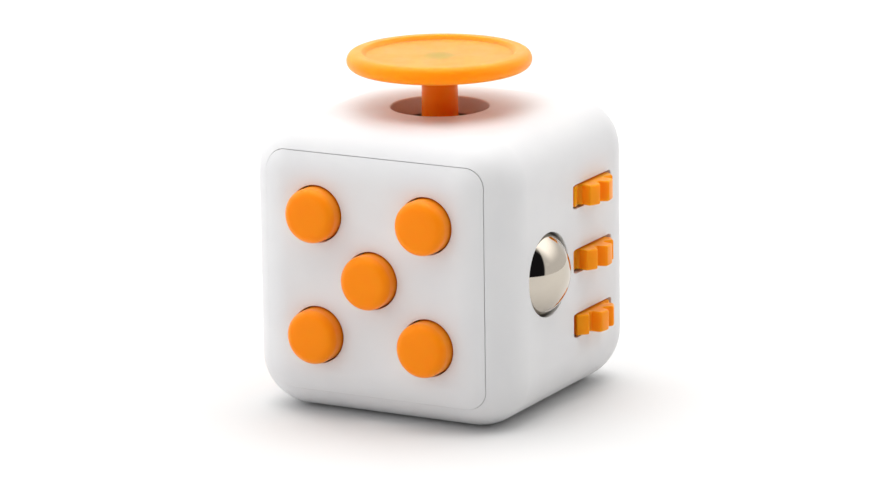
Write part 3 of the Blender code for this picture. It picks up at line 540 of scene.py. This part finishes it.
STICK_HOLE_RADIUS = 5.54 * MM
STICK_HOLE_DEPTH = 3.0 * MM
STICK_HOLE_LIP = 0.2 * MM
BALL_HOLE_RADIUS = 4.75 * MM
BALL_HOLE_DEPTH = 2.5 * MM
BALL_HOLE_LIP = 0.1 * MM
BALL_SEAT_RADIUS = 5.5 * MM
SLOT_HALF = (4.65 * MM, 1.3 * MM)
SLOT_CORNER = 0.25 * MM
SLOT_LIP = 0.1 * MM
WHEEL_RELIEF = Vector((0.15, 0.0, 0.1)) * MM
CAGE_ROOM = Vector((0.1, 0.2, 0.3)) * MM
CAGE_REACH = 3.0 * MM
CAGE_CORNER = 0.1 * MM
DIAL_RECESS_RADIUS = 9.75 * MM
DIAL_RECESS_DEPTH = 0.9 * MM
DIAL_BORE_RADIUS = 2.28 * MM
DIAL_BORE_DEPTH = 3.0 * MM
DIAL_CENTRE = Vector((-HALF, 0, MIDDLE))
ROCKER_OPENING = (4.2 * MM, 7.2 * MM)
ROCKER_CORNER = 0.5 * MM
ROCKER_DEPTH = 2.6 * MM
RECESS_LIP = 0.15 * MM


def dimple_cutter():
    """An oval bowl with a softened rim."""
    loops = []
    for step in range(DIMPLE_STEPS):
        share = DIMPLE_OUTSIDE - DIMPLE_NARROWING * step / (DIMPLE_STEPS - 1)
        depth = DIMPLE_HALF.z * sqrt(max(0.0, 1 - min(share, 1.0) ** 2))
        soft = DIMPLE_SOFTENING * max(0.0, (share - DIMPLE_SOFT_FROM) / DIMPLE_SOFT_OVER)
        loops.append([Vector((x * DIMPLE_HALF.x, y * DIMPLE_HALF.y, depth - soft)) for x, y in circle(share)])
    return loft("dimple", loops)


def wheel_cutters():
    """Each wheel's slot in the right face, and the round room behind it."""
    cutters = []
    for wheel in WHEELS:
        centre, half = span(wheel)
        place = (centre.y, centre.z - MIDDLE)
        depth = HALF - centre.x
        cutters.append(slot_in("right", wheel + "_slot", place, SLOT_HALF, SLOT_CORNER, depth, SLOT_LIP))
        rise = Vector((0, 0, SLOT_HALF[1] + WHEEL_RELIEF.z))
        room = half.x + WHEEL_RELIEF.x
        cutters.append(bar(wheel + "_relief", room, centre - rise, centre + rise, ROUND_STEPS))
    return cutters


def cage_cutter():
    """The groove that the wheel cage lies in."""
    cage_low, cage_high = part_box("wheel_cage")
    groove_low = Vector((HALF - WALL - MM, cage_low.y, span(WHEELS[0])[0].z - CAGE_REACH)) - CAGE_ROOM
    groove_high = Vector((cage_high.x, cage_high.y, span(WHEELS[-1])[0].z + CAGE_REACH)) + CAGE_ROOM
    return rounded_block("cage_groove", groove_low, groove_high, CAGE_CORNER, segments=1)


def make_shell():
    inset = Vector((WALL, WALL, WALL))
    shell = rounded_block("shell", CUBE_LOW, CUBE_HIGH, EDGE_RADIUS, SHELL_SEGMENTS)
    cavity = rounded_block("cavity", CUBE_LOW + inset, CUBE_HIGH - inset, EDGE_RADIUS - WALL, CAVITY_SEGMENTS)
    seat = (PANEL_HALF + SEAM, PANEL_HALF + SEAM)
    panel_seat = slot_in(
        "front", "panel_seat", SEAT_SHIFT, seat, PANEL_CORNER + SEAM, PANEL_THICKNESS, SEAT_LIP
    )
    opening = (PANEL_OPENING_HALF, PANEL_OPENING_HALF)
    panel_opening = slot_in(
        "front", "panel_opening", (0, 0), opening, PANEL_OPENING_CORNER, PANEL_OPENING_DEPTH, SLOT_LIP
    )
    combine(shell, "DIFFERENCE", [cavity, panel_seat, panel_opening])
    bosses, holes = screw_bosses(("stick", "ball", "cage", "rocker"), 2)
    pad_bottom, pad_top = Vector((0, 0, DIMPLE_PAD_BOTTOM)), Vector((0, 0, DIMPLE_PAD_TOP))
    bosses.append(bar("dimple_pad", DIMPLE_HALF.x, pad_bottom, pad_top, 64))
    combine(shell, "UNION", bosses)

    ball_place = (BALL_CENTRE.y, BALL_CENTRE.z - MIDDLE)
    bore_end = DIAL_CENTRE + Vector((DIAL_BORE_DEPTH, 0, 0))
    cutters = holes + [
        dimple_cutter(),
        hole_in("top", "stick_hole", (0, 0), STICK_HOLE_RADIUS, STICK_HOLE_DEPTH, STICK_HOLE_LIP),
        hole_in("right", "ball_hole", ball_place, BALL_HOLE_RADIUS, BALL_HOLE_DEPTH, BALL_HOLE_LIP),
        ball_shape("ball_seat", BALL_SEAT_RADIUS, BALL_CENTRE, (1, 0, 0), 64),
        *wheel_cutters(),
        cage_cutter(),
        hole_in("left", "dial_recess", (0, 0), DIAL_RECESS_RADIUS, DIAL_RECESS_DEPTH, RECESS_LIP),
        bar("dial_bore", DIAL_BORE_RADIUS, DIAL_CENTRE, bore_end, 48),
        slot_in("back", "rocker_opening", (0, 0), ROCKER_OPENING, ROCKER_CORNER, ROCKER_DEPTH, RECESS_LIP),
    ]
    combine(shell, "DIFFERENCE", cutters)
    finish_piece(shell, WHITE, "housing", "white_plastic", "body_shell")


BUTTON_HOLE_RADIUS = 3.23 * MM
BUTTON_HOLE_DEPTH = 3.0 * MM
BUTTON_HOLE_LIP = 0.12 * MM


def make_panel():
    """The lid over the front: it carries on the housing's rounding up to its own seam."""
    panel = rounded_block("panel", CUBE_LOW, CUBE_HIGH, EDGE_RADIUS, SHELL_SEGMENTS)

    def outline(offset):
        return rounded_rectangle(PANEL_HALF + offset, PANEL_HALF + offset, PANEL_CORNER + offset)

    prism = face_loft("panel_prism", "front", (0, 0), outline, [(0, MM), (0, -PANEL_THICKNESS)])
    combine(panel, "INTERSECT", [prism])
    bosses, holes = screw_bosses(("carrier",), 4)
    combine(panel, "UNION", bosses)
    for button in BUTTONS:
        centre = span(button)[0]
        place = (centre.x, centre.z - MIDDLE)
        name = button + "_hole"
        holes.append(hole_in("front", name, place, BUTTON_HOLE_RADIUS, BUTTON_HOLE_DEPTH, BUTTON_HOLE_LIP))
    combine(panel, "DIFFERENCE", holes)
    finish_piece(panel, WHITE, "housing", "white_plastic", "front_panel")


# ---------------------------------------------------------------- orange pieces

BUTTON_RADIUS = 3.08 * MM
BUTTON_EDGE = 0.95 * MM
BUTTON_FLANGE = 0.7 * MM
FLANGE_EDGE = 0.1 * MM
BUTTON_FLAT = 0.6  # the share of the radius that is all but flat
BUTTON_FALL = (-0.01 * MM, -0.05 * MM)  # below the middle, at the flat's end and at the edge


def make_button(node):
    low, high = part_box(node)
    centre = Vector(((low.x + high.x) / 2, low.y, (low.z + high.z) / 2))
    flange = high.x - centre.x
    length = high.y - low.y
    path = [
        (0, 0, 0),
        (BUTTON_RADIUS * BUTTON_FLAT, BUTTON_FALL[0], 0),
        (BUTTON_RADIUS, BUTTON_FALL[1], BUTTON_EDGE),
        (BUTTON_RADIUS, BUTTON_FLANGE - length, 0),
        (flange, BUTTON_FLANGE - length, FLANGE_EDGE),
        (flange, -length, FLANGE_EDGE),
        (0, -length, 0),
    ]
    button = lathe(node + "_cap", rounded_path(path), centre, (0, -1, 0))
    finish_piece(button, ORANGE, node, "orange_plastic", node)


LARGE_ROUND_STEPS = 160
DISC_DISH_DEPTH = 0.45 * MM
DISC_NOSE_SPARE = 0.01 * MM
DISC_SLOPE = (2.15 * MM, 1.70 * MM)  # in from the edge, where the dish's floor ends and where the rim begins
DISC_SLOPE_ROUNDING = (0.25 * MM, 0.35 * MM)
DISC_SOCKET_RADIUS = 1.56 * MM
DISC_SOCKET_DEPTH = 0.8 * MM


def make_disc():
    """The stick's round top: a plate with a fat round rim, slightly dished on top."""
    centre, half = span("glide_cap")
    low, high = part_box("glide_cap")
    radius = half.x
    thick = high.z - low.z
    dish = thick - DISC_DISH_DEPTH
    nose = thick / 2 - DISC_NOSE_SPARE
    path = [
        (0, dish, 0),
        (radius - DISC_SLOPE[0], dish, DISC_SLOPE_ROUNDING[0]),
        (radius - DISC_SLOPE[1], thick, DISC_SLOPE_ROUNDING[1]),
        (radius, thick, nose),
        (radius, 0, nose),
        (DISC_SOCKET_RADIUS, 0, 0),
        (DISC_SOCKET_RADIUS, DISC_SOCKET_DEPTH, 0),
        (0, DISC_SOCKET_DEPTH, 0),
    ]
    bottom = Vector((centre.x, centre.y, low.z))
    disc = lathe("disc", rounded_path(path, 10), bottom, (0, 0, 1), LARGE_ROUND_STEPS)
    finish_piece(disc, DISC_LIT_ORANGE, "stick", "orange_plastic", "glide_cap")


STICK_PIVOT = Vector((0.0, 0.0, 24.0)) * MM
POST_RADIUS = 2.0 * MM
NECK_RADIUS = 1.5 * MM
NECK_SPARE = 0.1 * MM
DOME_RADIUS = 6.8 * MM
DOME_THICKNESS = 0.8 * MM
DOME_REACH = radians(56)
DOME_STEPS = 24
POST_UNDER_PIVOT = 1.0 * MM
ANKLE_RADIUS = 1.4 * MM
ANKLE_UNDER_PIVOT = 1.6 * MM
FOOT_RADIUS = 2.8 * MM
FOOT_THICKNESS = 0.8 * MM
PIN_RADIUS = 0.6 * MM
PIN_REACH = Vector((4.1, 0.0, 0.0)) * MM


def make_stick():
    """The post under the disc, with the domed skirt that fills the hole, a foot, and the pins it tilts on."""
    low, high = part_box("glide_post")
    top = high.z - STICK_PIVOT.z
    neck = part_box("glide_cap")[0].z - NECK_SPARE - STICK_PIVOT.z
    path = [(0, top), (NECK_RADIUS, top), (NECK_RADIUS, neck), (POST_RADIUS, neck)]
    inner_radius = DOME_RADIUS - DOME_THICKNESS
    for radius, first, last in (
        (DOME_RADIUS, asin((POST_RADIUS + NECK_SPARE) / DOME_RADIUS), DOME_REACH),
        (inner_radius, DOME_REACH, asin(POST_RADIUS / inner_radius)),
    ):
        for step in range(DOME_STEPS + 1):
            angle = first + (last - first) * step / DOME_STEPS
            path.append((radius * sin(angle), radius * cos(angle)))
    bottom = low.z - STICK_PIVOT.z
    foot = bottom + FOOT_THICKNESS
    path += [(POST_RADIUS, -POST_UNDER_PIVOT), (ANKLE_RADIUS, -ANKLE_UNDER_PIVOT), (ANKLE_RADIUS, foot)]
    path += [(FOOT_RADIUS, foot), (FOOT_RADIUS, bottom), (0, bottom)]
    stick = lathe("stick_post", path, STICK_PIVOT, (0, 0, 1))
    combine(stick, "UNION", [bar("stick_pins", PIN_RADIUS, STICK_PIVOT - PIN_REACH, STICK_PIVOT + PIN_REACH)])
    finish_piece(stick, POST_SHADED_ORANGE, "stick", "orange_plastic", "glide_post")


WHEEL_TEETH = 10
WHEEL_ROOT_RADIUS = 3.9 * MM
WHEEL_EDGE = 0.22 * MM
WHEEL_EDGE_STEPS = 6
TOOTH_STEPS = 32
TOOTH_LAND = 0.2
TOOTH_FOOT = 0.42
AXLE_HOLE_RADIUS = 0.76 * MM
AXLE_HOLE_REACH = Vector((0.0, 0.0, 2.0)) * MM


def wheel_radius(angle, tip):
    """Chunky teeth: round along the land, with flanks that roll over into flat-bottomed notches."""
    share = abs((angle * WHEEL_TEETH / tau + 0.5) % 1.0 - 0.5)  # 0 in a tooth's middle, 0.5 in a notch's
    flank = min(1.0, max(0.0, (TOOTH_FOOT - share) / (TOOTH_FOOT - TOOTH_LAND)))
    return WHEEL_ROOT_RADIUS + (tip - WHEEL_ROOT_RADIUS) * flank * flank * (3 - 2 * flank)


def make_wheel(node, phase):
    centre, half = span(node)
    tip = max(half.x, half.y)
    steps = WHEEL_TEETH * TOOTH_STEPS

    def ring(inset, height):
        loop = []
        for step in range(steps):
            angle = tau * step / steps
            radius = wheel_radius(angle, tip) - inset
            loop.append(centre + Vector((radius * cos(angle + phase), radius * sin(angle + phase), height)))
        return loop

    turns = [pi / 2 * step / WHEEL_EDGE_STEPS for step in range(1, WHEEL_EDGE_STEPS + 1)]
    loops = [ring(WHEEL_EDGE, -half.z)]
    for side, side_turns in ((-1, turns), (1, turns[::-1])):
        for turn in side_turns:
            height = side * (half.z - WHEEL_EDGE * (1 - cos(turn)))
            loops.append(ring(WHEEL_EDGE * (1 - sin(turn)), height))
    loops.append(ring(WHEEL_EDGE, half.z))
    wheel = loft(node + "_gear", loops)
    bore = bar("wheel_bore", AXLE_HOLE_RADIUS, centre - AXLE_HOLE_REACH, centre + AXLE_HOLE_REACH, 32)
    combine(wheel, "DIFFERENCE", [bore])
    finish_piece(wheel, WHEEL_LIT_ORANGE, node.replace("roll_", ""), "orange_plastic", node)


DIAL_HALF_THICKNESS = 0.8 * MM
DIAL_DISH_DEPTH = 0.3 * MM
DIAL_SLOPE = (1.7 * MM, 1.2 * MM)
DIAL_SLOPE_ROUNDING = (0.3 * MM, 0.25 * MM)
DIAL_EDGE = 0.4 * MM
DIAL_BACK_EDGE = 0.1 * MM
DIAL_HUB_RADIUS = 2.2 * MM
PEG_RADIUS = 1.8 * MM
PEG_EDGE = 0.5 * MM
PEG_OFFSET = Vector((0.0, 0.0, 5.8)) * MM
PEG_SINK = 0.3 * MM
DIAL_SCREW_DEPTH = Vector((4.0, 0.0, 0.0)) * MM


def make_dial():
    """A turning plate in a recess, with a raised rim and one finger peg off its centre."""
    low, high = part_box("spin_dial")
    radius = high.y
    face = DIAL_HALF_THICKNESS
    back = -DIAL_HALF_THICKNESS
    hub_end = -(high.x + HALF)
    path = [
        (0, face - DIAL_DISH_DEPTH, 0),
        (radius - DIAL_SLOPE[0], face - DIAL_DISH_DEPTH, DIAL_SLOPE_ROUNDING[0]),
        (radius - DIAL_SLOPE[1], face, DIAL_SLOPE_ROUNDING[1]),
        (radius, face, DIAL_EDGE),
        (radius, back, DIAL_BACK_EDGE),
        (DIAL_HUB_RADIUS, back, 0),
        (DIAL_HUB_RADIUS, hub_end, 0),
        (0, hub_end, 0),
    ]
    dial = lathe("dial_plate", rounded_path(path), DIAL_CENTRE, (-1, 0, 0), LARGE_ROUND_STEPS)
    peg_top = -low.x - HALF
    peg_path = [(0, peg_top, 0), (PEG_RADIUS, peg_top, PEG_EDGE), (PEG_RADIUS, PEG_SINK, 0), (0, PEG_SINK, 0)]
    peg = lathe("dial_peg", rounded_path(peg_path), DIAL_CENTRE + PEG_OFFSET, (-1, 0, 0), 64)
    combine(dial, "UNION", [peg])
    screw_hole = bar("dial_screw_hole", SCREW_HOLE_RADIUS, DIAL_CENTRE, DIAL_CENTRE + DIAL_SCREW_DEPTH)
    combine(dial, "DIFFERENCE", [screw_hole])
    finish_piece(dial, ORANGE, "dial", "orange_plastic", "spin_dial")


def make_rocker():
    """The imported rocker's own shape, with its edges rounded."""
    rocker = bpy.data.objects.new("rocker_key", frame["nodes"]["flip_rocker"].data.copy())
    bpy.context.scene.collection.objects.link(rocker)
    shape = bmesh.new()
    shape.from_mesh(rocker.data)
    bmesh.ops.remove_doubles(shape, verts=shape.verts, dist=0.001 * MM)
    bmesh.ops.dissolve_limit(shape, angle_limit=radians(1), verts=shape.verts, edges=shape.edges)
    shape.to_mesh(rocker.data)
    shape.free()
    bevel = rocker.modifiers.new("edges", "BEVEL")
    bevel.width = 0.22 * MM
    bevel.segments = 4
    bevel.limit_method = "ANGLE"
    bevel.angle_limit = radians(40)
    settle(rocker)
    finish_piece(rocker, ORANGE, "rocker", "orange_plastic", "flip_rocker")


def make_ball():
    ball = ball_shape("ball_bearing", BALL_RADIUS, BALL_CENTRE, (0, 1, 0), 128)
    finish_piece(ball, BALL_STEEL, "ball", "polished_steel", "steel_ball")


# ---------------------------------------------------------------- floor and light

FLOOR_COLOUR = (0.71, 0.71, 0.71)
FLOOR_SHADE = (0.70, 0.70, 0.70)
FLOOR_DROP = 0.02 * MM


def make_floor():
    shape = bmesh.new()
    bmesh.ops.create_grid(shape, x_segments=8, y_segments=8, size=3.0)
    floor = as_object("floor", shape)
    floor.location.z = -FLOOR_DROP
    material, tree, shader = new_material("pale_floor")
    speck = add_noise(tree, scale=60.0, detail=2.0)
    speckled = add_ramp(tree, speck.outputs["Fac"], ((0.3, FLOOR_SHADE), (0.7, FLOOR_COLOUR)))
    tree.links.new(speckled, shader.inputs["Base Color"])
    shader.inputs["Roughness"].default_value = 0.75
    shader.inputs["Specular IOR Level"].default_value = 0.2
    floor.data.materials.append(material)


def direction(azimuth, elevation=0.0):
    """A unit vector at these degrees round from +X towards +Y, and up."""
    az, el = radians(azimuth), radians(elevation)
    return Vector((cos(az) * cos(el), sin(az) * cos(el), sin(el)))


def toward(tree, heading, vector, low, high):
    """0 where the looked-at direction has less than low along vector, 1 above high, and smooth between."""
    dot = tree.nodes.new("ShaderNodeVectorMath")
    dot.operation = "DOT_PRODUCT"
    dot.inputs[1].default_value = vector
    tree.links.new(heading, dot.inputs[0])
    mapping = tree.nodes.new("ShaderNodeMapRange")
    mapping.interpolation_type = "SMOOTHSTEP"
    mapping.inputs["From Min"].default_value = low
    mapping.inputs["From Max"].default_value = high
    tree.links.new(dot.outputs["Value"], mapping.inputs["Value"])
    return mapping.outputs["Result"]


def mixed(tree, factor, first, second):
    """Blends from one colour to another. Either may be a colour or a socket."""
    mix = tree.nodes.new("ShaderNodeMixRGB")
    tree.links.new(factor, mix.inputs["Fac"])
    for colour, socket in ((first, mix.inputs["Color1"]), (second, mix.inputs["Color2"])):
        if isinstance(colour, tuple):
            socket.default_value = (*colour, 1.0)
        else:
            tree.links.new(colour, socket)
    return mix.outputs["Color"]


# Each part of the tent has a colour, and one or more edges of (direction, where it starts, where it is full).
RIGHT_WALL = (0.83, 0.82, 0.81)
TENT_PARTS = {
    "left wall": ((1.17, 1.17, 1.18), [(direction(200), -0.7, 0.9)]),
    "doorway": (
        (0.012, 0.012, 0.014),
        [(Vector((-0.179, -0.966, 0.184)), -0.05, 0.03), (direction(15), -0.05, 0.05)],
    ),
    "ceiling": ((2.12, 2.1, 2.07), [(direction(0, 90), 0.25, 0.80), (direction(110), -0.30, 0.10)]),
    "lamp": ((3.4, 3.38, 3.35), [(direction(0, 90), 0.86, 0.93)]),
    "glint": ((0.9, 0.9, 0.88), [(direction(4, 21), 0.996, 0.999)]),
}
BACKDROP = (1.0, 1.0, 1.0)


def make_world():
    """A white tent, dimmer on the right, with a bright ceiling and a dark doorway at the front right."""
    world = bpy.data.worlds.new("studio")
    bpy.context.scene.world = world
    world.use_nodes = True
    tree = world.node_tree
    heading = tree.nodes.new("ShaderNodeTexCoord").outputs["Generated"]
    tent = RIGHT_WALL
    for colour, edges in TENT_PARTS.values():
        inside = toward(tree, heading, *edges[0])
        for edge in edges[1:]:
            times = tree.nodes.new("ShaderNodeMath")
            times.operation = "MULTIPLY"
            tree.links.new(inside, times.inputs[0])
            tree.links.new(toward(tree, heading, *edge), times.inputs[1])
            inside = times.outputs["Value"]
        tent = mixed(tree, inside, tent, colour)
    seen = tree.nodes.new("ShaderNodeLightPath").outputs["Is Camera Ray"]
    tree.links.new(mixed(tree, seen, tent, BACKDROP), tree.nodes["Background"].inputs["Color"])


# ---------------------------------------------------------------- everything together

WHEEL_PHASES = (26, 4, 9)

make_shell()
make_panel()
for button_node in BUTTONS:
    make_button(button_node)
make_disc()
make_stick()
for wheel_node, wheel_phase in zip(WHEELS, WHEEL_PHASES):
    make_wheel(wheel_node, radians(wheel_phase))
make_dial()
make_rocker()
make_ball()

make_floor()
make_world()
bpy.context.scene.view_settings.view_transform = "Standard"
